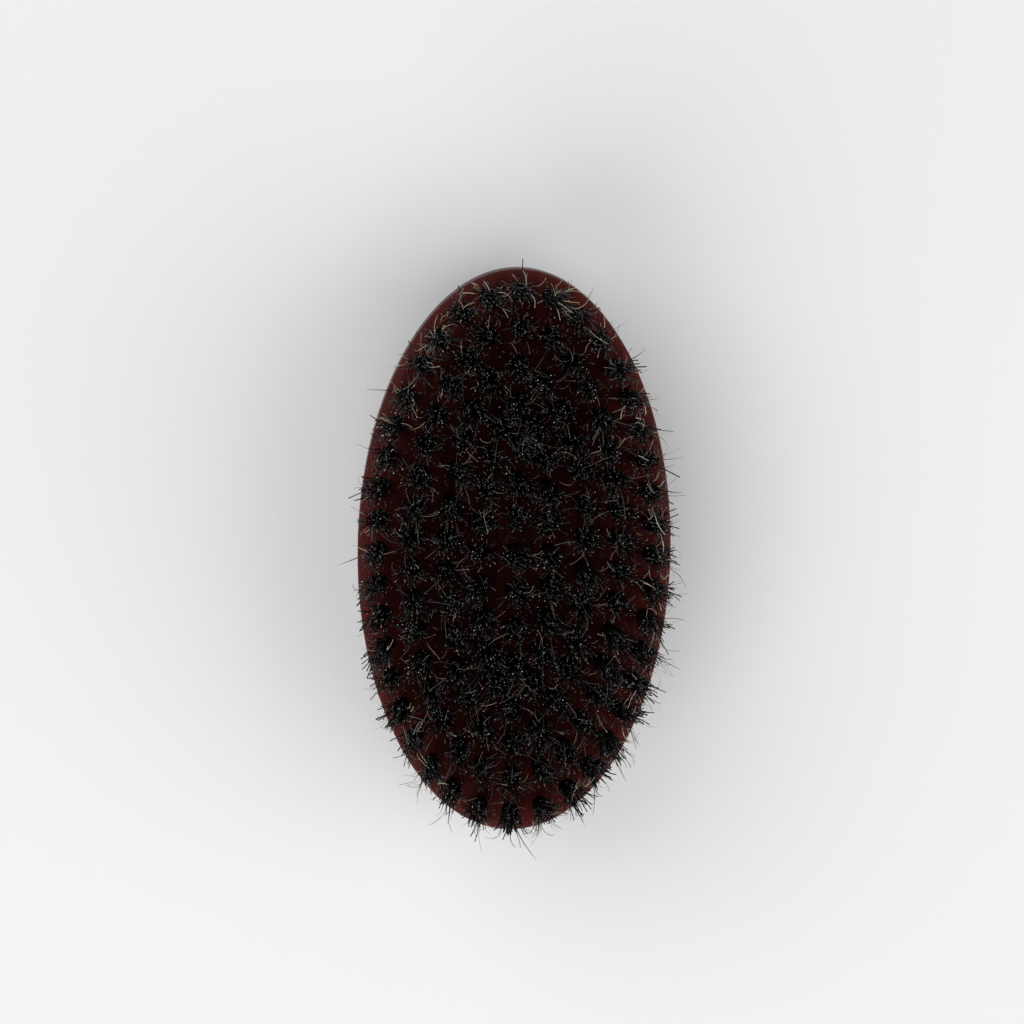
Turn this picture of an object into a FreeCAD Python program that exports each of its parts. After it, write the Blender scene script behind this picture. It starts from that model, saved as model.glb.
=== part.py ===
import FreeCAD, Part

import math
import os

import Sketcher
from FreeCAD import Placement, Rotation, Vector

# Palm-held oval beard brush, millimetres.
# The back lies on the XY plane, the bristles point up along +Z and the long axis runs along Y.
# A one-piece hardwood block is drilled with blind holes on four oval rows and one centre row.
# A tuft of boar bristle, folded in half over a flat wire anchor, is driven into every hole.

SIZES = [
    ("block_length", 108.0, "long axis of the oval"),
    ("block_width", 60.0, "short axis of the oval"),
    ("block_height", 20.0, "back to bristle face"),
    ("crown_rise", 9.0, "how far the crowned back climbs from its apex to its edge"),
    ("crown_planed", 0.6, "taken off the crown's apex, which leaves the flat to stand on"),
    ("rim_radius", 4.5, "round between the crown and the side wall"),
    ("face_edge_radius", 2.0, "round between the side wall and the bristle face"),
    ("hole_diameter", 3.2, "drilled hole for one tuft"),
    ("hole_depth", 9.0, "below the bristle face, along the hole"),
    ("root_clearance", 0.05, "between tuft root and hole, on the radius"),
    ("edge_margin", 3.9, "block edge to the hole centres of the outer row"),
    ("row_pitch_along", 7.0, "between rows, measured on the long axis"),
    ("tuft_pitch", 6.1, "between tufts, measured along a row"),
    ("tuft_gap", 0.2, "kept between the tips of the centre row's end tufts and the oval round it"),
    ("lean_across", 4.0, "outward lean of the tufts at the widest point, degrees"),
    ("lean_along", 2.0, "outward lean of the tufts at the two ends, degrees"),
    ("bristle_length", 16.0, "bristle face to tuft tip"),
    ("tip_diameter", 4.6, "tuft where it is trimmed"),
    ("tip_dome", 0.7, "crown of the trimmed tip"),
    ("anchor_width", 4.0, "wider than the hole, so that both ends bite into the wood"),
    ("anchor_height", 1.8, "along the hole"),
    ("anchor_thickness", 0.45, "flat wire"),
    ("fold_thickness", 0.9, "folded bristle under the anchor"),
]
OVAL_ROWS = 4  # closed rows round the centre row
ROW_SECTORS = [8, 8, 8, 4]  # how many nodes the tufts of each oval row are shared between
DRILL_OVERSHOOT = 3.0  # the drill's solid reaches this far above the face
CROWN_OVERCUT = 16.0  # thickness of the ring that the crowning groove removes
ARC_STEPS = 3600  # steps used to measure the length of an oval
EDGE_SAMPLES = 9  # points tested along an edge when it is looked for
TOLERANCE = 1e-4  # millimetres, or a share where a share is compared
LEVEL_AXIS, UPRIGHT_AXIS = -1, -2  # a sketch's own two axes

doc = FreeCAD.newDocument("beard_brush")


def make_sheet():
    """The spreadsheet of driving sizes: name, value, meaning."""
    sheet = doc.addObject("Spreadsheet::Sheet", "sizes")
    for line, (alias, value, meaning) in enumerate(SIZES, start=1):
        sheet.set(f"A{line}", alias)
        sheet.set(f"B{line}", str(value))
        sheet.set(f"C{line}", meaning)
        sheet.setAlias(f"B{line}", alias)
    doc.recompute()
    return sheet


sizes = make_sheet()


def size(alias):
    """A driving size, read back from the spreadsheet."""
    return float(sizes.get(alias))


def new_sketch(body, name, role):
    """An empty sketch on one of the body's own origin planes."""
    sketch = body.newObject("Sketcher::SketchObject", name)
    plane = [f for f in body.Origin.OriginFeatures if f.Role == role][0]
    sketch.AttachmentSupport = (plane, "")
    sketch.MapMode = "FlatFace"
    return sketch


def drive(sketch, constraint, name, formula):
    """Adds a constraint under a name and ties its value to the spreadsheet."""
    index = sketch.addConstraint(constraint)
    sketch.renameConstraint(index, name)
    sketch.setExpression(f"Constraints.{name}", formula)


def dome_arc(start, top):
    """An arc from start up to top, which lies on the upright axis; its centre lies on that axis too."""
    centre_height = (top[1] ** 2 - start[0] ** 2 - start[1] ** 2) / (2 * (top[1] - start[1]))
    circle = Part.Circle(Vector(0, centre_height, 0), Vector(0, 0, 1), top[1] - centre_height)
    return Part.ArcOfCircle(circle, math.atan2(start[1] - centre_height, start[0]), math.pi / 2)


def closed_outline(sketch, points, domed_side=None):
    """Sides through points, closed. All are straight but domed_side, an arc about the upright axis."""
    sides = []
    for number, (start, end) in enumerate(zip(points, points[1:] + points[:1])):
        if number == domed_side:
            shape = dome_arc(start, end)
        else:
            shape = Part.LineSegment(Vector(*start, 0), Vector(*end, 0))
        sides.append(sketch.addGeometry(shape))
    for side, following in zip(sides, sides[1:] + sides[:1]):
        sketch.addConstraint(Sketcher.Constraint("Coincident", side, 2, following, 1))
    if domed_side is not None:
        sketch.addConstraint(Sketcher.Constraint("PointOnObject", sides[domed_side], 3, UPRIGHT_AXIS))
    return sides


def place_start(sketch, side, kind, axis, name, value, formula):
    """Ties one coordinate of a side's start to a formula; with no formula the start stays on the axis."""
    if formula is None:
        sketch.addConstraint(Sketcher.Constraint("PointOnObject", side, 1, axis))
    else:
        drive(sketch, Sketcher.Constraint(kind, -1, 1, side, 1, value), name, formula)


def tied_outline(sketch, corners, domed_side=None):
    """A closed outline tied to the spreadsheet. Each corner is (name, x, formula_x, y, formula_y)."""
    sides = closed_outline(sketch, [(x, y) for _, x, _, y, _ in corners], domed_side)
    for side, (name, x, formula_x, y, formula_y) in zip(sides, corners):
        place_start(sketch, side, "DistanceX", UPRIGHT_AXIS, f"{name}_x", x, formula_x)
        place_start(sketch, side, "DistanceY", LEVEL_AXIS, f"{name}_y", y, formula_y)


def edges_where(shape, test):
    """Names of the edges whose every sampled point passes the test."""
    found = []
    for number, edge in enumerate(shape.Edges, start=1):
        if all(test(point) for point in edge.discretize(EDGE_SAMPLES)):
            found.append(f"Edge{number}")
    return found


def make_blank():
    """The hardwood block before drilling: an oval pad, its back crowned by a groove, its edges rounded."""
    body = doc.addObject("PartDesign::Body", "block_blank")
    oval = new_sketch(body, "block_oval", "XY_Plane")
    half_length, half_width = size("block_length") / 2, size("block_width") / 2
    oval.addGeometry(Part.Ellipse(Vector(0, half_length, 0), Vector(half_width, 0, 0), Vector(0, 0, 0)))
    oval.exposeInternalGeometry(0)
    oval.addConstraint(Sketcher.Constraint("Coincident", 0, 3, -1, 1))
    oval.addConstraint(Sketcher.Constraint("Vertical", 1))
    drive(oval, Sketcher.Constraint("Distance", 1, 2 * half_length), "length", "sizes.block_length")
    drive(oval, Sketcher.Constraint("Distance", 2, 2 * half_width), "width", "sizes.block_width")
    pad = body.newObject("PartDesign::Pad", "block_pad")
    pad.Profile = oval
    pad.setExpression("Length", "sizes.block_height")
    doc.recompute()
    full_volume = body.Shape.Volume

    crown_back(body)
    if not body.Shape.Volume < full_volume - TOLERANCE:
        raise RuntimeError("the crowning groove cut nothing")

    height = size("block_height")
    wall_top = height - size("face_edge_radius")

    def on_face_edge(point):
        return abs(point.z - height) < TOLERANCE

    def on_rim(point):
        share = (point.x / half_width) ** 2 + (point.y / half_length) ** 2
        return abs(share - 1) < TOLERANCE and point.z < wall_top - TOLERANCE

    round_edges(body, "face_edge", on_face_edge, "sizes.face_edge_radius")
    round_edges(body, "rim_edge", on_rim, "sizes.rim_radius")
    return body


def crown_back(body):
    """Grooves the back to a barrel: an arc across the block and a flatter one along it, with one rise."""
    across = "((sizes.block_width / 2)^2 + sizes.crown_rise^2) / (2 * sizes.crown_rise)"
    along = "((sizes.block_length / 2)^2 + sizes.crown_rise^2) / (2 * sizes.crown_rise)"
    rise, planed = size("crown_rise"), size("crown_planed")
    radius_across = ((size("block_width") / 2) ** 2 + rise**2) / (2 * rise)
    radius_along = ((size("block_length") / 2) ** 2 + rise**2) / (2 * rise)
    reach = size("block_length") / 2 + rise
    end_height = radius_along - planed - math.sqrt(radius_along**2 - reach**2)
    centre = Vector(0, radius_along - planed, 0)
    start_angle = math.atan2(end_height - centre.y, -reach)
    end_angle = math.atan2(end_height - centre.y, reach)

    sketch = new_sketch(body, "crown_profile", "YZ_Plane")
    circle = Part.Circle(centre, Vector(0, 0, 1), radius_along)
    arc = sketch.addGeometry(Part.ArcOfCircle(circle, start_angle, end_angle))
    high_right, low_right = Vector(reach, end_height, 0), Vector(reach, -CROWN_OVERCUT, 0)
    high_left, low_left = Vector(-reach, end_height, 0), Vector(-reach, -CROWN_OVERCUT, 0)
    right = sketch.addGeometry(Part.LineSegment(high_right, low_right))
    floor = sketch.addGeometry(Part.LineSegment(low_right, low_left))
    left = sketch.addGeometry(Part.LineSegment(low_left, high_left))
    # Constraint ends: 1 is where a side starts, 2 where it ends and 3 an arc's centre.
    sketch.addConstraint(Sketcher.Constraint("Coincident", arc, 2, right, 1))
    sketch.addConstraint(Sketcher.Constraint("Coincident", right, 2, floor, 1))
    sketch.addConstraint(Sketcher.Constraint("Coincident", floor, 2, left, 1))
    sketch.addConstraint(Sketcher.Constraint("Coincident", left, 2, arc, 1))
    sketch.addConstraint(Sketcher.Constraint("Vertical", right))
    sketch.addConstraint(Sketcher.Constraint("Vertical", left))
    sketch.addConstraint(Sketcher.Constraint("Horizontal", floor))
    sketch.addConstraint(Sketcher.Constraint("PointOnObject", arc, 3, UPRIGHT_AXIS))
    drive(sketch, Sketcher.Constraint("Radius", arc, radius_along), "along", along)
    apex = Sketcher.Constraint("DistanceY", -1, 1, arc, 3, centre.y)
    drive(sketch, apex, "apex", f"{along} - sizes.crown_planed")
    past_end = Sketcher.Constraint("DistanceX", -1, 1, right, 1, reach)
    drive(sketch, past_end, "reach", "sizes.block_length / 2 + sizes.crown_rise")
    sketch.addConstraint(Sketcher.Constraint("DistanceY", floor, 1, -1, 1, CROWN_OVERCUT))
    sketch.addConstraint(Sketcher.Constraint("Symmetric", arc, 1, arc, 2, UPRIGHT_AXIS))

    axis_sketch = new_sketch(body, "crown_axis", "YZ_Plane")
    axis_start, axis_end = Vector(0, radius_across, 0), Vector(reach, radius_across, 0)
    axis = axis_sketch.addGeometry(Part.LineSegment(axis_start, axis_end))
    axis_sketch.addConstraint(Sketcher.Constraint("Horizontal", axis))
    axis_sketch.addConstraint(Sketcher.Constraint("PointOnObject", axis, 1, UPRIGHT_AXIS))
    axis_height = Sketcher.Constraint("DistanceY", -1, 1, axis, 1, radius_across - planed)
    drive(axis_sketch, axis_height, "across", f"{across} - sizes.crown_planed")
    axis_sketch.addConstraint(Sketcher.Constraint("DistanceX", axis, 1, axis, 2, reach))
    doc.recompute()

    groove = body.newObject("PartDesign::Groove", "crown_groove")
    groove.Profile = sketch
    groove.ReferenceAxis = (axis_sketch, ["Edge1"])
    groove.Angle = 360
    doc.recompute()


def round_edges(body, name, test, formula):
    """A fillet on the edges of the body's present tip that pass the test."""
    base = body.Tip
    names = edges_where(base.Shape, test)
    if not names:
        raise RuntimeError(f"no edge found for {name}")
    fillet = body.newObject("PartDesign::Fillet", name)
    fillet.Base = (base, names)
    fillet.setExpression("Radius", formula)
    doc.recompute()


def make_tuft():
    """One tuft as a closed solid: a straight root, a flare to the trimmed tip, and a slot for its anchor."""
    body = doc.addObject("PartDesign::Body", "tuft_pattern")
    root, tip = size("hole_diameter") / 2 - size("root_clearance"), size("tip_diameter") / 2
    depth, length, dome = size("hole_depth"), size("bristle_length"), size("tip_dome")
    root_formula = "sizes.hole_diameter / 2 - sizes.root_clearance"
    sketch = new_sketch(body, "tuft_profile", "XZ_Plane")
    tied_outline(sketch, [
        ("bottom", 0, None, -depth, "-sizes.hole_depth"),
        ("root_low", root, root_formula, -depth, "-sizes.hole_depth"),
        ("root_high", root, root_formula, 0, None),
        ("tip", tip, "sizes.tip_diameter / 2", length - dome, "sizes.bristle_length - sizes.tip_dome"),
        ("top", 0, None, length, "sizes.bristle_length"),
    ], domed_side=3)
    doc.recompute()
    turned = body.newObject("PartDesign::Revolution", "tuft_turned")
    turned.Profile = sketch
    turned.ReferenceAxis = (sketch, ["V_Axis"])
    turned.Angle = 360
    doc.recompute()
    whole = body.Shape.Volume
    low, high = anchor_seat()
    half = size("anchor_thickness") / 2
    slot = new_sketch(body, "anchor_slot", "YZ_Plane")
    rectangle(slot, -half, "-sizes.anchor_thickness / 2", half, "sizes.anchor_thickness / 2", low, high)
    doc.recompute()
    pocket = body.newObject("PartDesign::Pocket", "anchor_passage")
    pocket.Profile = slot
    pocket.Midplane = True
    pocket.setExpression("Length", "2 * sizes.hole_diameter")
    doc.recompute()
    if not body.Shape.Volume < whole - TOLERANCE:
        raise RuntimeError("the anchor's slot cut nothing")
    return body


def anchor_seat():
    """Lower and upper edge of the anchor in the hole, as (value, formula) pairs."""
    low = (size("fold_thickness") - size("hole_depth"), "sizes.fold_thickness - sizes.hole_depth")
    high = (low[0] + size("anchor_height"), low[1] + " + sizes.anchor_height")
    return low, high


def rectangle(sketch, left, formula_left, right, formula_right, low, high):
    """A rectangle whose four sides are tied to the spreadsheet."""
    tied_outline(sketch, [
        ("low_left", left, formula_left, *low),
        ("low_right", right, formula_right, *low),
        ("high_right", right, formula_right, *high),
        ("high_left", left, formula_left, *high),
    ])


def flat_plate(body, name):
    """The anchor's own shape, upright on the hole's axis and lying along X."""
    low, high = anchor_seat()
    half = size("anchor_width") / 2
    sketch = new_sketch(body, f"{name}_outline", "XZ_Plane")
    rectangle(sketch, -half, "-sizes.anchor_width / 2", half, "sizes.anchor_width / 2", low, high)
    doc.recompute()
    plate = body.newObject("PartDesign::Pad", f"{name}_plate")
    plate.Profile = sketch
    plate.Midplane = True
    plate.setExpression("Length", "sizes.anchor_thickness")
    doc.recompute()


def make_anchor():
    """One flat wire anchor."""
    body = doc.addObject("PartDesign::Body", "anchor_pattern")
    flat_plate(body, "anchor")
    return body


def make_drill():
    """What one tuft's hole takes out of the block: the bore and the bite of the anchor's two ends."""
    body = doc.addObject("PartDesign::Body", "drill_pattern")
    radius, depth = size("hole_diameter") / 2, size("hole_depth")
    sketch = new_sketch(body, "drill_profile", "XZ_Plane")
    tied_outline(sketch, [
        ("bottom", 0, None, -depth, "-sizes.hole_depth"),
        ("wall_low", radius, "sizes.hole_diameter / 2", -depth, "-sizes.hole_depth"),
        ("wall_high", radius, "sizes.hole_diameter / 2", DRILL_OVERSHOOT, str(DRILL_OVERSHOOT)),
        ("top", 0, None, DRILL_OVERSHOOT, str(DRILL_OVERSHOOT)),
    ])
    doc.recompute()
    bore = body.newObject("PartDesign::Revolution", "drill_bore")
    bore.Profile = sketch
    bore.ReferenceAxis = (sketch, ["V_Axis"])
    bore.Angle = 360
    doc.recompute()
    flat_plate(body, "bite")
    return body


def points_on_oval(half_width, half_length, count):
    """count points at equal distances round an ellipse, the first on the long axis, running clockwise."""
    angles = [2 * math.pi * step / ARC_STEPS for step in range(ARC_STEPS + 1)]
    curve = [(half_width * math.sin(angle), half_length * math.cos(angle)) for angle in angles]
    run = [0.0]
    for start, end in zip(curve, curve[1:]):
        run.append(run[-1] + math.dist(start, end))
    found = []
    step = 0
    for number in range(count):
        target = run[-1] * number / count
        while run[step + 1] < target:
            step += 1
        share = (target - run[step]) / (run[step + 1] - run[step])
        (x0, y0), (x1, y1) = curve[step], curve[step + 1]
        found.append((x0 + share * (x1 - x0), y0 + share * (y1 - y0)))
    return found, run[-1]


def hole_rows():
    """Hole centres on the bristle face, one list per row, from the outer oval to the centre row."""
    half_width = size("block_width") / 2 - size("edge_margin")
    half_length = size("block_length") / 2 - size("edge_margin")
    rows = []
    for row in range(OVAL_ROWS):
        across = half_width * (1 - row / OVAL_ROWS)
        along = half_length - row * size("row_pitch_along")
        _, girth = points_on_oval(across, along, 1)
        # An even number, so that a row has a tuft on the long axis at both ends.
        count = 2 * round(girth / (2 * size("tuft_pitch")))
        rows.append(points_on_oval(across, along, count)[0])
    rows.append(centre_row(rows[-1]))
    return rows


def centre_row(innermost):
    """Hole centres on the long axis. The row ends where its tufts would touch the innermost oval's."""
    apart = size("tip_diameter") + size("tuft_gap")
    reach = min(y - math.sqrt(apart**2 - x**2) for x, y in innermost if y > 0 and abs(x) < apart)
    gaps = round(2 * reach / size("row_pitch_along"))
    return [(0.0, reach - 2 * reach * gap / gaps) for gap in range(gaps + 1)]


def hole_placement(x, y):
    """Puts a pattern on the bristle face at x, y; it leans outwards more, the further out it is."""
    half_width = size("block_width") / 2 - size("edge_margin")
    half_length = size("block_length") / 2 - size("edge_margin")
    lean_x = math.radians(size("lean_across")) * x / half_width
    lean_y = math.radians(size("lean_along")) * y / half_length
    direction = Vector(math.tan(lean_x), math.tan(lean_y), 1)
    return Placement(Vector(x, y, size("block_height")), Rotation(Vector(0, 0, 1), direction))


def copies(label, pattern, places):
    """One node: a compound of linked copies of the pattern, a separate solid at each place."""
    links = []
    for number, (x, y) in enumerate(places, start=1):
        link = doc.addObject("App::Link", f"{label}_{number}")
        link.LinkedObject = pattern
        link.Placement = hole_placement(x, y)
        links.append(link)
    group = doc.addObject("Part::Compound", label)
    group.Label = label
    group.Links = links
    return group


def in_sectors(places, sectors):
    """Shares a row between sectors of neighbouring tufts, as evenly as its number allows."""
    bounds = [round(len(places) * number / sectors) for number in range(sectors + 1)]
    return [places[start:end] for start, end in zip(bounds, bounds[1:])]


def make_nodes():
    """Every sub-part that is written to a file."""
    blank, tuft, anchor, drill = make_blank(), make_tuft(), make_anchor(), make_drill()
    rows = hole_rows()
    holes = copies("drilled_holes", drill, [place for row in rows for place in row])
    block = doc.addObject("Part::Cut", "wood_block")
    block.Base = blank
    block.Tool = holes
    block.Label = "wood_block"
    nodes = [block]
    for row, places in enumerate(rows[:OVAL_ROWS], start=1):
        for sector, share in enumerate(in_sectors(places, ROW_SECTORS[row - 1]), start=1):
            nodes.append(copies(f"tufts_row{row}_sector{sector}", tuft, share))
        nodes.append(copies(f"anchors_row{row}", anchor, places))
    nodes.append(copies("tufts_centre_row", tuft, rows[-1]))
    nodes.append(copies("anchors_centre_row", anchor, rows[-1]))
    doc.recompute()
    return nodes, sum(len(row) for row in rows)


def check(nodes):
    """Stops before anything is written if an object failed or a sub-part isn't a valid solid."""
    for item in doc.Objects:
        if {"Invalid", "Error"} & set(item.State):
            raise RuntimeError(f"{item.Name} is {item.State}")
    for node in nodes:
        shape = node.Shape
        if shape.isNull() or not shape.isValid() or not shape.Solids:
            raise RuntimeError(f"{node.Label} has no valid shape")


nodes, tufts = make_nodes()
check(nodes)
os.makedirs("parts", exist_ok=True)
for node in nodes:
    node.Shape.exportStep(os.path.join("parts", node.Label + ".step"))
print(f"{len(nodes)} nodes, {tufts} tufts, drilled block {nodes[0].Shape.Volume / 1000:.1f} cm3")
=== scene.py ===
import math

import bpy
import numpy as np
from mathutils import Matrix, Vector


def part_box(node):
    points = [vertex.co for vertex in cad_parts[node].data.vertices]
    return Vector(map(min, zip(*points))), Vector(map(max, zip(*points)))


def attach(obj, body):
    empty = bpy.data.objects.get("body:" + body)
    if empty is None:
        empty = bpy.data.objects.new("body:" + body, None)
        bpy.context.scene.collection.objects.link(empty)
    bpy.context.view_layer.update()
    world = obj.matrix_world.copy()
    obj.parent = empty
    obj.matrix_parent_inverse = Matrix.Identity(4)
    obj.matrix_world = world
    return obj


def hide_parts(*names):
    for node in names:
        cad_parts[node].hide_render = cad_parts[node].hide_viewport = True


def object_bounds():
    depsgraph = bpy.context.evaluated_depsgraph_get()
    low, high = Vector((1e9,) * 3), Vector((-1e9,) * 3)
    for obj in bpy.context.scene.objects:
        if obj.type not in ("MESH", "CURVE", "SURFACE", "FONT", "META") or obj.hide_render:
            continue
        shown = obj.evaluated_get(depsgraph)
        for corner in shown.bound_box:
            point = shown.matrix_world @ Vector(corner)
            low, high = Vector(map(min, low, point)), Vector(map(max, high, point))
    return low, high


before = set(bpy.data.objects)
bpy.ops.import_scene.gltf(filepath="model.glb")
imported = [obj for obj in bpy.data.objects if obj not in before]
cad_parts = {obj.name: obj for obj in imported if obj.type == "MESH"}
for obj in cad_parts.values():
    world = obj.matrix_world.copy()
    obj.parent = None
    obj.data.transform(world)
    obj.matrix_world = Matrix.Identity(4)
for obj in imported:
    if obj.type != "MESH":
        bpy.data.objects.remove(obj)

# Palm-held oval beard brush, in metres. Its crowned back lies on the floor and its bristles point up.
# The block, the places of the tufts and the anchors come from the CAD model. Each tuft is replaced here by
# its folded hairs, by curled hairs that left the bundle and, on the outer oval, by a few long ones.

MM = 0.001
CAD_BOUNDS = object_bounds()
FACE_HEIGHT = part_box("wood_block")[1].z
TUFT_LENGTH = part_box("tufts_centre_row")[1].z - FACE_HEIGHT
ROWS = ("row1", "row2", "row3", "row4", "centre_row")  # from the outer oval to the middle
ANCHOR_CORNERS = 24  # six faces of a box, each with four corners of its own
COUNT_START = 0.001  # radians before the +Y axis, so that a tuft on the axis is counted first

# A pair of numbers in brackets is a range that each hair or tuft draws from evenly.

# the hole and its anchor
HOLE_RADIUS = 1.6 * MM
HOLE_DEPTH = 9.0 * MM
ANCHOR_FOOT = 8.1 * MM  # lower edge of the anchor, below the face
HALF_ANCHOR = 0.38 * MM  # what the anchor keeps clear on each side of the hole's middle
ANCHOR_SQUEEZE = 0.85  # a hair's distance from the hole's axis at the anchor, over that at its root
FOLD_RISE = (0.0, 0.6 * MM)  # of a fold above the hole's bottom

# the hair tubes
HAIR_SIDES = 4
LEG_RINGS = 5
STRAIGHT_RINGS, CURL_RINGS = 4, 8  # of a hair that curls out of its tuft
ROOT_RADIUS = 0.125 * MM
CUT_RADIUS = 0.100 * MM
FINE_RADIUS = 0.025 * MM  # a natural, uncut tip
CUT_TIP_SHARE = 0.8  # of a loose hair's radius, left at a cut tip
TAPER_POWER = 4
BEVEL = 0.03 * MM  # between a hair's side and its cut face
BEVEL_SHARE = 0.75  # of the radius, left at the cut face
THICKNESS_SHARE = (0.85, 1.15)

# one tuft
TUFT_FLARE = (0.88, 1.20)
TUFT_SWAY = 0.60 * MM
TUFT_RISE = 0.25 * MM
OUTER_TUFT = {"pale": 0.09, "curl_pale": 0.66, "curl_tone": (0.66, 1.0), "wander": 1.5}
INNER_TUFT = {"pale": 0.03, "curl_pale": 0.45, "curl_tone": (0.47, 0.75), "wander": 3.0}

# folded hairs
FOLDED_HAIRS = 34  # in one tuft; each shows two ends
GOLDEN_SHARE = 0.618034
SECOND_HALF_START = 0.37  # of half a turn, between the starts of a tuft's two halves
TIP_SPREAD = 2.6 * MM  # radius of the trimmed end of a tuft
SCATTER, WILD_SCATTER = 0.72 * MM, 1.55 * MM  # of a hair's end about its place in the tuft
WILD_SHARE, BROKEN_SHARE = 0.20, 0.06
BROKEN_LOSS = (0.8 * MM, 3.5 * MM)
BOW, BOW_BACK = 0.75 * MM, 0.6
DRIFT_POWER = 1.15  # 1 is a straight hair, and more flares its end
RIM_DROP = 0.5 * MM  # of the trimmed end, from its middle to its rim
SCATTER_DROP = 5.0 * MM  # a hair that ends a distance d off its place is lower by d squared over this
HEIGHT_JITTER = 0.25 * MM
DARK_TONE = (0.0, 0.16)
PALE_TONE = (0.35, 0.85)  # what a pale hair's end adds to its dark tone
PALE_FROM, PALE_OVER = 0.65, 0.3  # where up the leg the paleness begins, and over what share it comes in
# How pale a cut face is painted: partly the pale cut end of a hair, partly a painted highlight where the
# light glints on it.
CUT_PALENESS_AND_GLINT, CUT_PALENESS_AND_GLINT_SPREAD = 0.050, 1.15  # the middle one, and the spread of its logarithm
CUT_PALENESS_AND_GLINT_LEAST = 0.01

# curled hairs
ROOT_REACH = (0.2, 0.8)  # of the hole's radius
EVERY_FOURTH = 4
PAIR_GAP = 0.22 * MM  # between the two hairs of a pair
CURL_FIRST_TILT, CURL_LAST_TILT = (1.0, 10.0), (40.0, 100.0)  # degrees from the tuft
CURL_TURN_SPEED = 1.4  # above 1, the turn is done before the tip
CURL_SWING = 0.9  # sideways, in radians
CURL_FOOT = (0.74, 0.99)  # of the tuft's length, where the curl begins
CURL_LENGTH, CURL_LENGTH_SPREAD = 2.6 * MM, 0.55  # the middle one, and the spread of its logarithm
CURL_SHORTEST, CURL_LONGEST = 0.9 * MM, 6.5 * MM
CURL_RADIUS = (0.044 * MM, 0.082 * MM)
UNCUT_SHARE = 0.6  # of the curled hairs
DARK_CURL_TONE = (0.0, 0.4)
CURL_ROOT_TONE = 0.3  # of a curled hair's tone, left at its root
CURL_TONE_FROM, CURL_TONE_OVER = 0.3, 0.5
CURLS, WORN_CURLS = (7, 13), (14, 22)  # in one tuft, the last not included
WORN_ACROSS, WORN_ALONG = 0.3, 0.5  # of the half width and half length, beyond which the brush is worn

# long hairs
LONG_HAIR_CHANCE, WORN_LONG_HAIR_CHANCE = 0.10, 0.35
LONG_WANDER, LONG_SWING = 0.45, 0.25  # radians
LONG_FIRST_TILT, LONG_LAST_TILT = (8.0, 16.0), (22.0, 42.0)  # degrees from the tuft
LONG_LENGTH = (15.0 * MM, 17.5 * MM)
LONG_RADIUS = (0.075 * MM, 0.11 * MM)
LONG_PALE_SHARE, LONG_PALE_TONE = 0.4, 0.85

# finishes
RIM_START = 0.90  # of the oval's equation, which is 1 on the block's outline
RIM_DEPTH = 4 * MM  # below the face
WOOD_RINGS = [(0.0, (0.080, 0.0120, 0.0094)), (0.55, (0.061, 0.0091, 0.0074)),
              (1.0, (0.037, 0.0062, 0.0054))]
WOOD_FIBRE = (0.083, 0.0136, 0.0098, 1.0)
WOOD_STAIN = (0.034, 0.0062, 0.0056, 1.0)
WOOD_PORE = (0.012, 0.0030, 0.0026, 1.0)
WOOD_WORN = (0.115, 0.024, 0.016, 1.0)
HAIR_TONES = [(0.0, (0.0170, 0.0172, 0.0182)), (0.25, (0.024, 0.023, 0.022)), (0.50, (0.070, 0.062, 0.048)),
              (0.75, (0.190, 0.175, 0.138)), (1.0, (0.560, 0.490, 0.345))]
# A cut face's cool near-white: partly the pale cut end, partly a painted highlight.
HAIR_CUT_FACE_AND_GLINT = (0.80, 0.85, 0.88, 1.0)
WIRE_GREYS = [(0.3, (0.42, 0.41, 0.39)), (0.7, (0.62, 0.61, 0.59))]

# studio
FLOOR_HALF = 3.0
FLOOR_COLOUR = (0.88, 0.88, 0.88, 1.0)
STUDIO_SKY = [(0.0, (0.58, 0.59, 0.61)), (0.40, (0.42, 0.43, 0.45)), (0.75, (0.18, 0.18, 0.19)),
              (1.0, (0.10, 0.10, 0.11))]  # from the horizon to overhead
LENS, SENSOR = 202.2, 36.0  # millimetres
CAMERA_DISTANCE = 1.10
CAMERA_LEAN = 5.8  # degrees off upright, towards the +Y end
CAMERA_SIDE_LEAN = 1.6  # towards -X
CAMERA_ROLL = 1.1
AIM_LEFT, AIM_UP = 0.48 * MM, 7.55 * MM  # of the face's middle, as the camera sees it

random = np.random.default_rng(20260)


# ---------------------------------------------------------------- materials

def new_material(name):
    """A material with an empty node tree, and its shader and output already joined."""
    material = bpy.data.materials.new(name)
    material.use_nodes = True
    tree = material.node_tree
    tree.nodes.clear()
    shader = tree.nodes.new("ShaderNodeBsdfPrincipled")
    output = tree.nodes.new("ShaderNodeOutputMaterial")
    tree.links.new(shader.outputs["BSDF"], output.inputs["Surface"])
    return material, tree, shader


def add(tree, kind, values=None, **settings):
    """Adds a node. Settings are its own properties; values go on its sockets, and a socket is linked."""
    made = tree.nodes.new(kind)
    for name, value in settings.items():
        setattr(made, name, value)
    for name, value in (values or {}).items():
        if isinstance(value, bpy.types.NodeSocket):
            tree.links.new(value, made.inputs[name])
        else:
            made.inputs[name].default_value = value
    return made


def mix_colour(tree, share, first, second):
    """Two colours mixed by share; either may be a socket or a colour."""
    made = add(tree, "ShaderNodeMix", data_type="RGBA")
    for index, value in ((0, share), (6, first), (7, second)):
        if isinstance(value, bpy.types.NodeSocket):
            tree.links.new(value, made.inputs[index])
        else:
            made.inputs[index].default_value = value
    return made.outputs[2]


def ramp(tree, share, stops):
    """A colour ramp through (position, colour) stops."""
    made = add(tree, "ShaderNodeValToRGB", {"Fac": share})
    elements = made.color_ramp.elements
    while len(elements) < len(stops):
        elements.new(0.5)
    for element, (position, colour) in zip(elements, stops):
        element.position = position
        element.color = (*colour, 1.0)
    return made.outputs["Color"]


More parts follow.
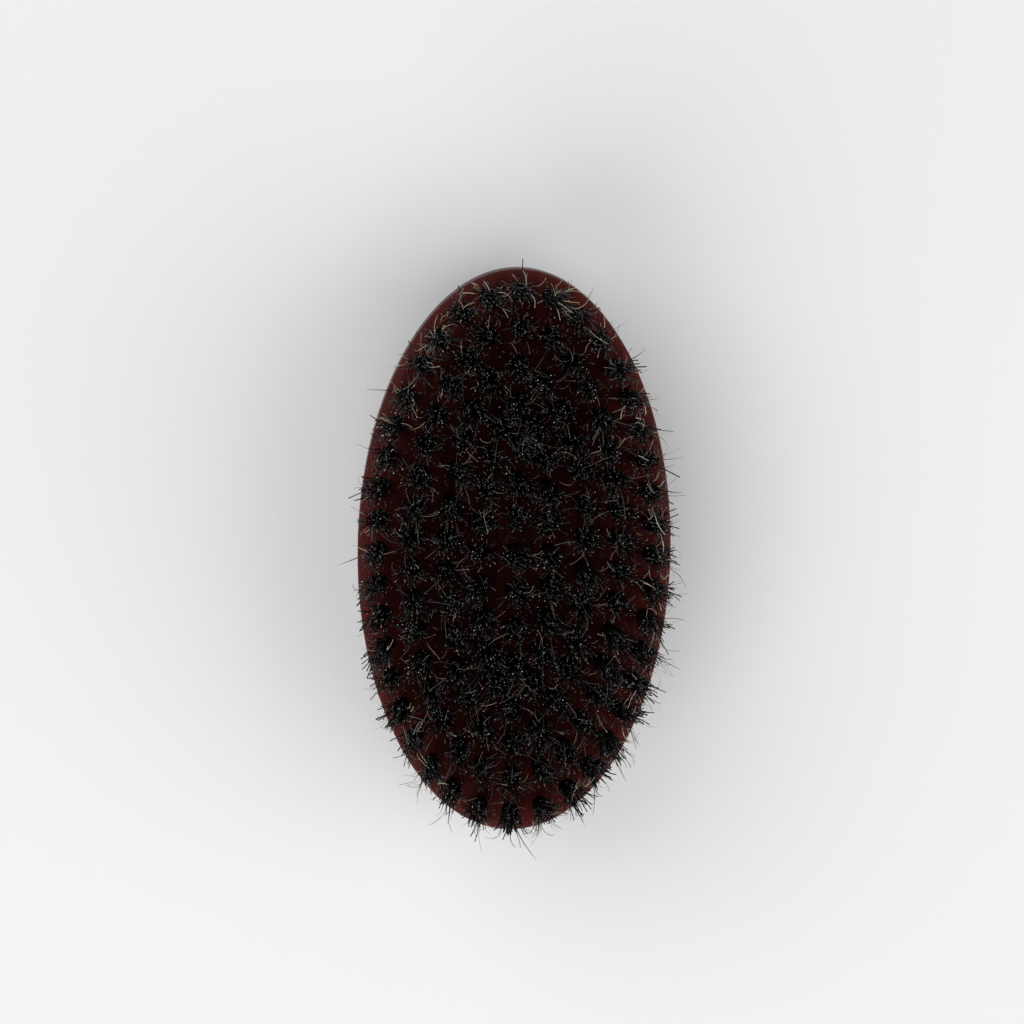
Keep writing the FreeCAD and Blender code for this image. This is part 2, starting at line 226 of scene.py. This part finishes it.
def stretched(tree, scale, turn=(0, 0, 0)):
    """Object coordinates, scaled by a different amount along each axis."""
    coordinates = add(tree, "ShaderNodeTexCoord")
    mapping = add(tree, "ShaderNodeMapping", {"Vector": coordinates.outputs["Object"], "Scale": scale,
                                              "Rotation": turn})
    return mapping.outputs["Vector"]


def between(tree, value, low, high, new_low=0.0, new_high=1.0):
    """A value carried from one range to another, held at its ends."""
    made = add(tree, "ShaderNodeMapRange", {"Value": value, "From Min": low, "From Max": high,
                                            "To Min": new_low, "To Max": new_high})
    return made.outputs["Result"]


def math_of(tree, operation, first, second=0.0):
    """One arithmetic step between two values or sockets."""
    made = add(tree, "ShaderNodeMath", operation=operation)
    for index, value in ((0, first), (1, second)):
        if isinstance(value, bpy.types.NodeSocket):
            tree.links.new(value, made.inputs[index])
        else:
            made.inputs[index].default_value = value
    return made.outputs[0]


def lacquered_wood():
    """Mahogany-stained hardwood whose fibres run along the brush, under a clear satin lacquer."""
    material, tree, shader = new_material("lacquered_wood")
    rings = add(tree, "ShaderNodeTexWave", {
        "Vector": stretched(tree, (1.0, 0.05, 1.0), (0.0, 0.0, 0.05)),
        "Scale": 95.0, "Distortion": 5.0, "Detail": 3.0, "Detail Scale": 1.6, "Detail Roughness": 0.55,
    }, wave_type="BANDS", bands_direction="X", wave_profile="SAW")
    fibres = add(tree, "ShaderNodeTexNoise", {
        "Vector": stretched(tree, (1.0, 0.035, 1.0)), "Scale": 2600.0, "Detail": 4.0, "Roughness": 0.6})
    pores = add(tree, "ShaderNodeTexNoise", {
        "Vector": stretched(tree, (1.0, 0.09, 1.0)), "Scale": 3400.0, "Detail": 1.0})
    stain = add(tree, "ShaderNodeTexNoise", {
        "Vector": stretched(tree, (1.0, 0.45, 1.0)), "Scale": 70.0, "Detail": 3.0})
    scuffs = add(tree, "ShaderNodeTexNoise", {
        "Vector": stretched(tree, (0.35, 1.0, 1.0), (0.0, 0.0, 0.6)), "Scale": 900.0, "Detail": 5.0,
        "Roughness": 0.7})
    pore_mask = between(tree, pores.outputs["Fac"], 0.62, 0.70)
    worn = math_of(tree, "MULTIPLY", between(tree, scuffs.outputs["Fac"], 0.60, 0.72), rim_share(tree))

    body = ramp(tree, rings.outputs["Fac"], WOOD_RINGS)
    body = mix_colour(tree, between(tree, fibres.outputs["Fac"], 0.35, 0.68), body, WOOD_FIBRE)
    body = mix_colour(tree, between(tree, stain.outputs["Fac"], 0.35, 0.70, 0.0, 0.5), body, WOOD_STAIN)
    body = mix_colour(tree, math_of(tree, "MULTIPLY", pore_mask, 0.7), body, WOOD_PORE)
    body = mix_colour(tree, math_of(tree, "MULTIPLY", worn, 0.45), body, WOOD_WORN)
    tree.links.new(body, shader.inputs["Base Color"])
    tree.links.new(math_of(tree, "ADD", between(tree, fibres.outputs["Fac"], 0.3, 0.7, 0.38, 0.52),
                           math_of(tree, "MULTIPLY", worn, 0.2)), shader.inputs["Roughness"])
    shader.inputs["Specular IOR Level"].default_value = 0.03
    tree.links.new(between(tree, rim_share(tree), 0.5, 1.0, 0.03, 0.25), shader.inputs["Coat Weight"])
    shader.inputs["Coat Roughness"].default_value = 0.22

    orange_peel = add(tree, "ShaderNodeTexNoise", {
        "Vector": stretched(tree, (1.0, 0.6, 1.0)), "Scale": 420.0, "Detail": 2.0})
    height = math_of(tree, "SUBTRACT", math_of(tree, "MULTIPLY", orange_peel.outputs["Fac"], 0.5),
                     math_of(tree, "MULTIPLY", pore_mask, 0.35))
    bump = add(tree, "ShaderNodeBump", {"Height": height, "Strength": 0.2, "Distance": 0.06 * MM})
    tree.links.new(bump.outputs["Normal"], shader.inputs["Normal"])
    tree.links.new(bump.outputs["Normal"], shader.inputs["Coat Normal"])
    return material


def rim_share(tree):
    """1 on the sides and the crowned back, where a hand holds the block, and 0 on the flat bristle face.

    It is the larger of a climb to a half towards the oval's edge and a climb to 1 down from the face."""
    coordinates = add(tree, "ShaderNodeTexCoord")
    place = add(tree, "ShaderNodeSeparateXYZ", {"Vector": coordinates.outputs["Object"]})
    across = math_of(tree, "MULTIPLY", place.outputs["X"], 1.0 / CAD_BOUNDS[1].x)
    along = math_of(tree, "MULTIPLY", place.outputs["Y"], 1.0 / CAD_BOUNDS[1].y)
    oval = math_of(tree, "ADD", math_of(tree, "MULTIPLY", across, across),
                   math_of(tree, "MULTIPLY", along, along))
    below = between(tree, place.outputs["Z"], FACE_HEIGHT, FACE_HEIGHT - RIM_DEPTH)
    return math_of(tree, "MAXIMUM", between(tree, oval, RIM_START, 1.0, 0.0, 0.5), below)


def boar_bristle():
    """Boar hair. Tone runs from black, 0, through brown to straw, 1; cut is how pale a cut face shows,
    partly the cut end's own paleness and partly a painted highlight.
    """
    material, tree, shader = new_material("boar_bristle")
    tone = add(tree, "ShaderNodeAttribute", attribute_name="tone", attribute_type="GEOMETRY")
    cut = add(tree, "ShaderNodeAttribute", attribute_name="cut", attribute_type="GEOMETRY")
    mottle = add(tree, "ShaderNodeTexNoise", {
        "Vector": stretched(tree, (1.0, 1.0, 0.25)), "Scale": 1500.0, "Detail": 2.0})
    shifted = math_of(tree, "ADD", tone.outputs["Fac"],
                      between(tree, mottle.outputs["Fac"], 0.3, 0.7, -0.06, 0.06))
    colour = ramp(tree, shifted, HAIR_TONES)
    # The cut faces are mixed towards a cool white: a painted highlight over the pale cut end.
    colour = mix_colour(tree, cut.outputs["Fac"], colour, HAIR_CUT_FACE_AND_GLINT)
    tree.links.new(colour, shader.inputs["Base Color"])
    tree.links.new(between(tree, mottle.outputs["Fac"], 0.3, 0.7, 0.38, 0.55), shader.inputs["Roughness"])
    shader.inputs["Specular IOR Level"].default_value = 0.4
    scales = add(tree, "ShaderNodeTexNoise", {
        "Vector": stretched(tree, (1.0, 1.0, 3.0)), "Scale": 6000.0, "Detail": 1.0})
    bump = add(tree, "ShaderNodeBump", {"Height": scales.outputs["Fac"], "Strength": 0.3,
                                        "Distance": 0.01 * MM})
    tree.links.new(bump.outputs["Normal"], shader.inputs["Normal"])
    return material


def anchor_wire():
    """Bright flat wire with fine lines left by drawing it."""
    material, tree, shader = new_material("anchor_wire")
    lines = add(tree, "ShaderNodeTexNoise", {
        "Vector": stretched(tree, (0.05, 1.0, 1.0)), "Scale": 5000.0, "Detail": 3.0})
    colour = ramp(tree, lines.outputs["Fac"], WIRE_GREYS)
    tree.links.new(colour, shader.inputs["Base Color"])
    shader.inputs["Metallic"].default_value = 1.0
    tree.links.new(between(tree, lines.outputs["Fac"], 0.3, 0.7, 0.26, 0.40), shader.inputs["Roughness"])
    return material


# ---------------------------------------------------------------- where the tufts stand

def tuft_stations(row):
    """The foot of every tuft of a row on the bristle face, with its three directions.

    An anchor is a box, whose corners' mean is its middle. Its principal directions, from the longest side
    to the shortest, are the wire's length, the hole's axis and the wire's thickness."""
    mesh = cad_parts[f"anchors_{row}"].data
    corners = np.empty(len(mesh.vertices) * 3)
    mesh.vertices.foreach_get("co", corners)
    boxes = corners.reshape(-1, ANCHOR_CORNERS, 3)
    middle = boxes.mean(axis=1)
    directions = np.linalg.svd(boxes - middle[:, None, :], full_matrices=False)[2]
    axis = directions[:, 1] * np.sign(directions[:, 1, 2:3])
    along_wire = directions[:, 0] * np.sign(directions[:, 0, 0:1])
    over_wire = np.cross(axis, along_wire)
    foot = middle + axis * ((FACE_HEIGHT - middle[:, 2]) / axis[:, 2])[:, None]
    if row == "centre_row":
        order = np.argsort(-foot[:, 1])
    else:
        order = np.argsort((np.arctan2(foot[:, 0], foot[:, 1]) + COUNT_START) % (2 * np.pi))
    return foot[order], np.stack([along_wire, over_wire, axis], axis=1)[order]


def sector_nodes(row, count):
    """The CAD nodes of a row, each with the slice of the row's tufts that it holds."""
    if row == "centre_row":
        return [("tufts_centre_row", slice(0, count))]
    names = sorted(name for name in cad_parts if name.startswith(f"tufts_{row}_"))
    ends = [round(count * number / len(names)) for number in range(len(names) + 1)]
    return [(name, slice(start, end)) for name, start, end in zip(names, ends, ends[1:])]


# ---------------------------------------------------------------- hairs

def half_disc(count, radius, offset):
    """Points spread evenly over half a disc.

    The radius follows the square root of a point's number. The angle moves on by the golden share of half a
    turn from each point to the next, and starts at the offset."""
    number = np.arange(count)
    reach = radius * np.sqrt((number + 0.5) / count)
    angle = np.pi * ((number * GOLDEN_SHARE + offset) % 1.0)
    return np.stack([reach * np.cos(angle), reach * np.sin(angle)], axis=1)


def smooth(share):
    """0 below 0, 1 above 1, and a smooth climb between."""
    share = np.clip(share, 0.0, 1.0)
    return share * share * (3.0 - 2.0 * share)


def leg(root, share, tuft):
    """The visible half of folded hairs, from the face, share 0, to the cut end, share 1.

    Each climbs along the tuft while it drifts, as a power of the share, from its root to its place in the
    wider trimmed end, and bows to one side by bow * (share**2 - BOW_BACK * share). An end is lower the
    farther it is from its place. A few hairs are wild and end far from theirs, and a few are broken off."""
    count = len(root)
    rim = np.linalg.norm(root, axis=1) / HOLE_RADIUS
    wild = random.random(count) < WILD_SHARE
    scatter = random.standard_normal((count, 2)) * np.where(wild, WILD_SCATTER, SCATTER)[:, None]
    spread = root / HOLE_RADIUS * TIP_SPREAD * tuft["flare"] + tuft["sway"] + scatter
    bow = random.normal(0.0, BOW, (count, 2))
    height = TUFT_LENGTH + tuft["rise"] - RIM_DROP * rim**2 - np.sum(scatter**2, axis=1) / SCATTER_DROP
    height = height + random.normal(0.0, HEIGHT_JITTER, count)
    broken = random.random(count) < BROKEN_SHARE
    height = height - broken * random.uniform(*BROKEN_LOSS, count)
    climb = share[None, :, None]
    place = np.empty((count, len(share), 3))
    place[:, :, :2] = (root[:, None] + (spread - root)[:, None] * climb**DRIFT_POWER
                       + bow[:, None] * (climb**2 - BOW_BACK * climb))
    place[:, :, 2] = height[:, None] * share[None]
    return past_the_end(place, BEVEL)


def past_the_end(path, distance):
    """The paths with one more ring, straight on from the last by the distance."""
    onward = path[:, -1] - path[:, -2]
    onward = onward / np.linalg.norm(onward, axis=1, keepdims=True)
    return np.concatenate([path, (path[:, -1] + distance * onward)[:, None]], axis=1)


def cut_faces_and_glints(count):
    """How pale each cut face shows: mostly grey, now and then nearly white. It is partly the cut end's own
    paleness and partly a painted highlight.
    """
    paleness = CUT_PALENESS_AND_GLINT * np.exp(random.normal(0.0, CUT_PALENESS_AND_GLINT_SPREAD, count))
    return np.clip(paleness, CUT_PALENESS_AND_GLINT_LEAST, 1.0)


def folded_hairs(tuft):
    """Paths, radii, tones and cut faces of a tuft's hairs, in its own frame: along the wire, over it, up.

    Each hair runs from one cut end down its leg, under the anchor and up its other leg."""
    share = np.linspace(0.0, 1.0, LEG_RINGS)
    offset = random.random()
    near = half_disc(FOLDED_HAIRS, HOLE_RADIUS - ROOT_RADIUS, offset)
    far = half_disc(FOLDED_HAIRS, HOLE_RADIUS - ROOT_RADIUS, offset + SECOND_HALF_START) * (1.0, -1.0)
    first, second = leg(near, share, tuft), leg(far, share, tuft)
    low_near = np.column_stack([near * ANCHOR_SQUEEZE, np.full(FOLDED_HAIRS, -ANCHOR_FOOT)])
    low_far = np.column_stack([far * ANCHOR_SQUEEZE, np.full(FOLDED_HAIRS, -ANCHOR_FOOT)])
    low_near[:, 1] = np.maximum(low_near[:, 1], HALF_ANCHOR)
    low_far[:, 1] = np.minimum(low_far[:, 1], -HALF_ANCHOR)
    fold = (low_near + low_far) / 2
    fold[:, 1] = 0.0
    fold[:, 2] = -HOLE_DEPTH + ROOT_RADIUS + random.uniform(*FOLD_RISE, FOLDED_HAIRS)
    under = np.stack([low_near, fold, low_far], axis=1)
    path = np.concatenate([first[:, ::-1], under, second], axis=1)

    along = np.append(share, 1.0)
    along = np.concatenate([along[::-1], [0.0, 0.0, 0.0], along])
    radius = ROOT_RADIUS + (CUT_RADIUS - ROOT_RADIUS) * along
    radius = radius * random.uniform(*THICKNESS_SHARE, (FOLDED_HAIRS, 1))
    radius[:, [0, -1]] *= BEVEL_SHARE
    tone = random.uniform(*DARK_TONE, (FOLDED_HAIRS, 1)) * np.ones_like(radius)
    pale = random.random((FOLDED_HAIRS, 1)) < tuft["pale"]
    pale = pale * random.uniform(*PALE_TONE, (FOLDED_HAIRS, 1))
    tone = tone + pale * smooth((along - PALE_FROM) / PALE_OVER)
    cut = np.zeros_like(radius)
    # Both cut ends get a pale face, partly a painted highlight.
    cut[:, 0], cut[:, -1] = cut_faces_and_glints(FOLDED_HAIRS), cut_faces_and_glints(FOLDED_HAIRS)
    return path, radius, tone, cut


def curled_hairs(tuft, count):
    """Paths, radii, tones and cut faces of fine hairs that curl over at the end of a tuft.

    The direction stays near the tuft's own up to a share of its height. From there it turns down by a
    smooth step and sideways in proportion to the length, which makes an arc of a few millimetres. Every
    fourth hair stays beside the one before it up to the curl, and there the two part like a split end."""
    straight = np.linspace(0.0, 1.0, STRAIGHT_RINGS)
    curl = np.linspace(0.0, 1.0, CURL_RINGS + 1)[1:]
    turn = np.concatenate([np.zeros(STRAIGHT_RINGS), smooth(curl * CURL_TURN_SPEED)])
    bend = np.concatenate([np.zeros(STRAIGHT_RINGS), curl])
    number = np.arange(count)
    beside = number - (number % EVERY_FOURTH == EVERY_FOURTH - 1)
    heading = (tuft["outward"] + random.normal(0.0, tuft["wander"], count))[beside]
    reach = HOLE_RADIUS * random.uniform(*ROOT_REACH, count)[beside]
    reach = reach + PAIR_GAP * (beside != number)
    first_tilt = np.radians(random.uniform(*CURL_FIRST_TILT, count))[beside, None]
    last_tilt = np.radians(random.uniform(*CURL_LAST_TILT, count))[:, None]
    tilt = first_tilt + (last_tilt - first_tilt) * turn
    swing = heading[:, None] + random.normal(0.0, CURL_SWING, (count, 1)) * bend
    upright = TUFT_LENGTH * random.uniform(*CURL_FOOT, (count, 1))[beside]
    curled = CURL_LENGTH * np.exp(random.normal(0.0, CURL_LENGTH_SPREAD, (count, 1)))
    curled = np.clip(curled, CURL_SHORTEST, CURL_LONGEST)
    length = np.concatenate([upright * straight, upright + curled * curl], axis=1)
    path = added_up(tilt, swing, length, heading, reach)
    fine = random.random((count, 1)) < UNCUT_SHARE
    along = length / length[:, -1:]
    radius = taper(along, random.uniform(*CURL_RADIUS, (count, 1)), fine)
    pale = random.random((count, 1))[beside] < tuft["curl_pale"]
    pale_tone = random.uniform(*tuft["curl_tone"], (count, 1))
    tone = np.where(pale, pale_tone, random.uniform(*DARK_CURL_TONE, (count, 1)))
    climb = smooth((np.column_stack([np.zeros(count), along]) - CURL_TONE_FROM) / CURL_TONE_OVER)
    tone = tone * (CURL_ROOT_TONE + (1.0 - CURL_ROOT_TONE) * climb)
    cut = np.zeros_like(radius)
    # A cut tip gets a pale face, partly a painted highlight; an uncut tip gets none.
    cut[:, -1] = np.where(fine[:, 0], 0.0, cut_faces_and_glints(count))
    return path, radius, tone, cut


def long_hairs(tuft, count):
    """Nearly straight hairs that missed the trimming and reach past the block's edge.

    Their tilt from the tuft climbs by a smooth step, and they swing sideways in step with the length."""
    along = np.linspace(0.0, 1.0, STRAIGHT_RINGS + CURL_RINGS)
    heading = tuft["outward"] + random.normal(0.0, LONG_WANDER, count)
    first_tilt = np.radians(random.uniform(*LONG_FIRST_TILT, count))[:, None]
    last_tilt = np.radians(random.uniform(*LONG_LAST_TILT, count))[:, None]
    tilt = first_tilt + (last_tilt - first_tilt) * smooth(along)
    swing = heading[:, None] + random.normal(0.0, LONG_SWING, (count, 1)) * along
    length = random.uniform(*LONG_LENGTH, (count, 1)) * along
    path = added_up(tilt, swing, length, heading, HOLE_RADIUS * random.uniform(*ROOT_REACH, count))
    radius = taper(length / length[:, -1:], random.uniform(*LONG_RADIUS, (count, 1)),
                   np.ones((count, 1), bool))
    pale = random.random((count, 1)) < LONG_PALE_SHARE
    tone = np.where(pale, LONG_PALE_TONE, 0.0) * np.ones_like(radius)
    return path, radius, tone, np.zeros_like(radius)


def added_up(tilt, swing, length, heading, reach):
    """Adds up steps along directions given by their tilt from the tuft and their turn round it.

    The hair starts halfway down the hole, under its root, which stands at the reach from the hole's axis.
    The length is measured from the root."""
    across = np.sin(tilt)
    direction = np.stack([across * np.cos(swing), across * np.sin(swing), np.cos(tilt)], axis=2)
    step = direction[:, :-1] * np.diff(length, axis=1)[:, :, None]
    root = np.stack([reach * np.cos(heading), reach * np.sin(heading), np.zeros(len(length))], axis=1)
    start = root[:, None]
    below = start - (0.0, 0.0, HOLE_DEPTH / 2)
    return np.concatenate([below, start, start + np.cumsum(step, axis=1)], axis=1)


def taper(along, thickness, fine):
    """Radii that shrink, as the share along the hair to a power, to a cut or a natural tip."""
    last = np.where(fine, FINE_RADIUS, CUT_TIP_SHARE * thickness)
    return thickness + (last - thickness) * np.column_stack([np.zeros(len(along)), along]) ** TAPER_POWER


# ---------------------------------------------------------------- hair meshes

def tube_faces(hairs, rings, sides, first_vertex):
    """Quads round every tube and one polygon over each end, as vertex numbers."""
    hair, ring, side = np.indices((hairs, rings - 1, sides))
    base = first_vertex + (hair * rings + ring) * sides
    following = (side + 1) % sides
    quads = np.stack([base + side, base + following, base + sides + following, base + sides + side], axis=3)
    start = first_vertex + np.arange(hairs)[:, None] * rings * sides
    round_end = np.arange(sides)[None]
    caps = np.concatenate([start + round_end[:, ::-1], start + (rings - 1) * sides + round_end])
    return quads.reshape(-1, 4), caps


def tube_points(path, radius, across):
    """Rings of points round every path.

    Each ring is square to the path there. Its first direction is the one before it, less what lies along
    the path, so that the tube doesn't twist."""
    ahead = np.gradient(path, axis=1)
    ahead /= np.linalg.norm(ahead, axis=2, keepdims=True)
    sideways = np.empty_like(path)
    current = np.broadcast_to(across, path[:, 0].shape)
    for ring in range(path.shape[1]):
        current = current - ahead[:, ring] * np.sum(current * ahead[:, ring], axis=1, keepdims=True)
        current = current / np.linalg.norm(current, axis=1, keepdims=True)
        sideways[:, ring] = current
    upwards = np.cross(ahead, sideways)
    angle = np.arange(HAIR_SIDES) * 2 * np.pi / HAIR_SIDES
    across_share, up_share = np.cos(angle)[:, None], np.sin(angle)[:, None]
    round_path = across_share * sideways[:, :, None] + up_share * upwards[:, :, None]
    return path[:, :, None] + radius[:, :, None, None] * round_path


def mesh_of_tubes(name, groups, material):
    """One mesh object from groups of tubes, each (points, tones, cut faces).

    The sides of the tubes are shaded smooth and their ends flat."""
    points, tones, cut_paleness_and_glints, quads, caps = [], [], [], [], []
    first = 0
    for tube, tone, cut in groups:
        hairs, rings, sides, _ = tube.shape
        points.append(tube.reshape(-1, 3))
        tones.append(np.repeat(tone, sides, axis=1).ravel())
        cut_paleness_and_glints.append(np.repeat(cut, sides, axis=1).ravel())
        some_quads, some_caps = tube_faces(hairs, rings, sides, first)
        quads.append(some_quads)
        caps.append(some_caps)
        first += hairs * rings * sides
    points, quads, caps = np.concatenate(points), np.concatenate(quads), np.concatenate(caps)
    corners = np.concatenate([quads.ravel(), caps.ravel()])
    sizes = np.concatenate([np.full(len(quads), 4), np.full(len(caps), HAIR_SIDES)])
    mesh = bpy.data.meshes.new(name)
    mesh.vertices.add(len(points))
    mesh.vertices.foreach_set("co", points.astype(np.float32).ravel())
    mesh.loops.add(len(corners))
    mesh.loops.foreach_set("vertex_index", corners.astype(np.int32))
    mesh.polygons.add(len(sizes))
    mesh.polygons.foreach_set("loop_start", (np.cumsum(sizes) - sizes).astype(np.int32))
    mesh.update(calc_edges=True)
    smooth_sides = np.arange(len(sizes)) < len(quads)
    mesh.polygons.foreach_set("use_smooth", smooth_sides)
    # cut carries the pale cut faces, partly a painted highlight.
    for attribute_name, values in (("tone", tones), ("cut", cut_paleness_and_glints)):
        attribute = mesh.attributes.new(attribute_name, "FLOAT", "POINT")
        attribute.data.foreach_set("value", np.concatenate(values).astype(np.float32))
    mesh.materials.append(material)
    made = bpy.data.objects.new(name, mesh)
    bpy.context.scene.collection.objects.link(made)
    return made


def tuft_character(foot, directions, outer):
    """What sets one tuft apart from the next: its flare, lean, height, paleness and outward heading."""
    outward = np.array([foot[0], foot[1], 0.0])
    tuft = dict(OUTER_TUFT if outer else INNER_TUFT)
    tuft["outward"] = math.atan2(directions[1] @ outward, directions[0] @ outward)
    tuft["flare"] = random.uniform(*TUFT_FLARE)
    tuft["sway"] = random.normal(0.0, TUFT_SWAY, 2)
    tuft["rise"] = random.normal(0.0, TUFT_RISE)
    return tuft


def tuft_group(foot, directions, outer):
    """All tubes of one tuft: folded hairs, curled hairs and, now and then on the outer oval, a long hair.

    The brush is worn most at its +X side and its ends, so more hairs have come loose there."""
    tuft = tuft_character(foot, directions, outer)
    at_side = foot[0] > WORN_ACROSS * CAD_BOUNDS[1].x
    at_end = abs(foot[1]) > WORN_ALONG * CAD_BOUNDS[1].y
    worn = outer and (at_side or at_end)
    loose = random.integers(*(WORN_CURLS if worn else CURLS))
    sets = [folded_hairs(tuft), curled_hairs(tuft, loose)]
    if outer and random.random() < (WORN_LONG_HAIR_CHANCE if worn else LONG_HAIR_CHANCE):
        sets.append(long_hairs(tuft, 1))
    return [(tube_points(foot + path @ directions, radius, directions[0]), tone, cut)
            for path, radius, tone, cut in sets]


def make_bristles(material):
    """Replaces every CAD node of tufts by one mesh of hairs."""
    for row in ROWS:
        feet, directions = tuft_stations(row)
        for node, share in sector_nodes(row, len(feet)):
            low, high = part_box(node)
            groups = []
            for foot, three in zip(feet[share], directions[share]):
                if not (low.x < foot[0] < high.x and low.y < foot[1] < high.y):
                    raise ValueError(f"a tuft of {row} stands outside {node}")
                groups += tuft_group(foot, three, row == "row1")
            piece = mesh_of_tubes(node.replace("tufts", "bristles"), groups, material)
            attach(piece, "root")
            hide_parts(node)


def finish_cad_nodes(wood, wire):
    """Gives the nodes that stay visible or hidden inside their own finish."""
    for name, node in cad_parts.items():
        if name == "wood_block" or name.startswith("anchors_"):
            for slot in node.material_slots:
                slot.link = "OBJECT"
                slot.material = wood if name == "wood_block" else wire


# ---------------------------------------------------------------- stage, light and camera

def make_floor():
    """A pale floor under the brush."""
    corners = [(FLOOR_HALF * x, FLOOR_HALF * y, 0) for x, y in ((-1, -1), (1, -1), (1, 1), (-1, 1))]
    mesh = bpy.data.meshes.new("floor")
    mesh.from_pydata(corners, [], [(0, 1, 2, 3)])
    floor = bpy.data.objects.new("floor", mesh)
    bpy.context.scene.collection.objects.link(floor)
    material, tree, shader = new_material("pale_floor")
    shader.inputs["Base Color"].default_value = FLOOR_COLOUR
    shader.inputs["Roughness"].default_value = 0.9
    shader.inputs["Specular IOR Level"].default_value = 0.1
    mesh.materials.append(material)


def area_light(name, place, size, power):
    """A white, square soft light at place, facing the brush."""
    data = bpy.data.lights.new(name, "AREA")
    data.size = size
    data.energy = power
    light = bpy.data.objects.new(name, data)
    bpy.context.scene.collection.objects.link(light)
    aim = Vector((0.0, 0.0, FACE_HEIGHT)) - Vector(place)
    light.matrix_world = Matrix.Translation(place) @ aim.to_track_quat("-Z", "Y").to_matrix().to_4x4()


def make_world():
    """A studio that is pale near the horizon and dark overhead, so the lacquer mirrors little of it."""
    world = bpy.data.worlds.new("studio")
    bpy.context.scene.world = world
    world.use_nodes = True
    tree = world.node_tree
    tree.nodes.clear()
    coordinates = add(tree, "ShaderNodeTexCoord")
    direction = add(tree, "ShaderNodeSeparateXYZ", {"Vector": coordinates.outputs["Generated"]})
    light = ramp(tree, direction.outputs["Z"], STUDIO_SKY)
    background = add(tree, "ShaderNodeBackground", {"Color": light, "Strength": 1.0})
    output = add(tree, "ShaderNodeOutputWorld")
    tree.links.new(background.outputs[0], output.inputs["Surface"])


def make_camera():
    """Looks down on the bristles from just past upright, with the brush a little below the middle."""
    data = bpy.data.cameras.new("camera")
    data.lens, data.sensor_width = LENS, SENSOR
    data.clip_start = 0.01
    camera = bpy.data.objects.new("camera", data)
    bpy.context.scene.collection.objects.link(camera)
    turn = Matrix.Identity(4)
    for degrees, axis in ((CAMERA_ROLL, "Z"), (-CAMERA_SIDE_LEAN, "Y"), (-CAMERA_LEAN, "X")):
        turn = turn @ Matrix.Rotation(math.radians(degrees), 4, axis)
    offset = turn @ Vector((-AIM_LEFT, AIM_UP, CAMERA_DISTANCE))
    camera.matrix_world = Matrix.Translation(Vector((0.0, 0.0, FACE_HEIGHT)) + offset) @ turn
    bpy.context.scene.camera = camera


make_camera()
make_floor()
make_world()
area_light("key", (-0.76, 0.64, 0.88), 1.50, 9.0)
area_light("fill", (0.92, -0.30, 0.76), 1.40, 9.2)
area_light("front", (-0.45, -0.92, 0.72), 1.20, 9.0)
make_bristles(boar_bristle())
finish_cad_nodes(lacquered_wood(), anchor_wire())
bpy.context.scene.view_settings.view_transform = "Standard"
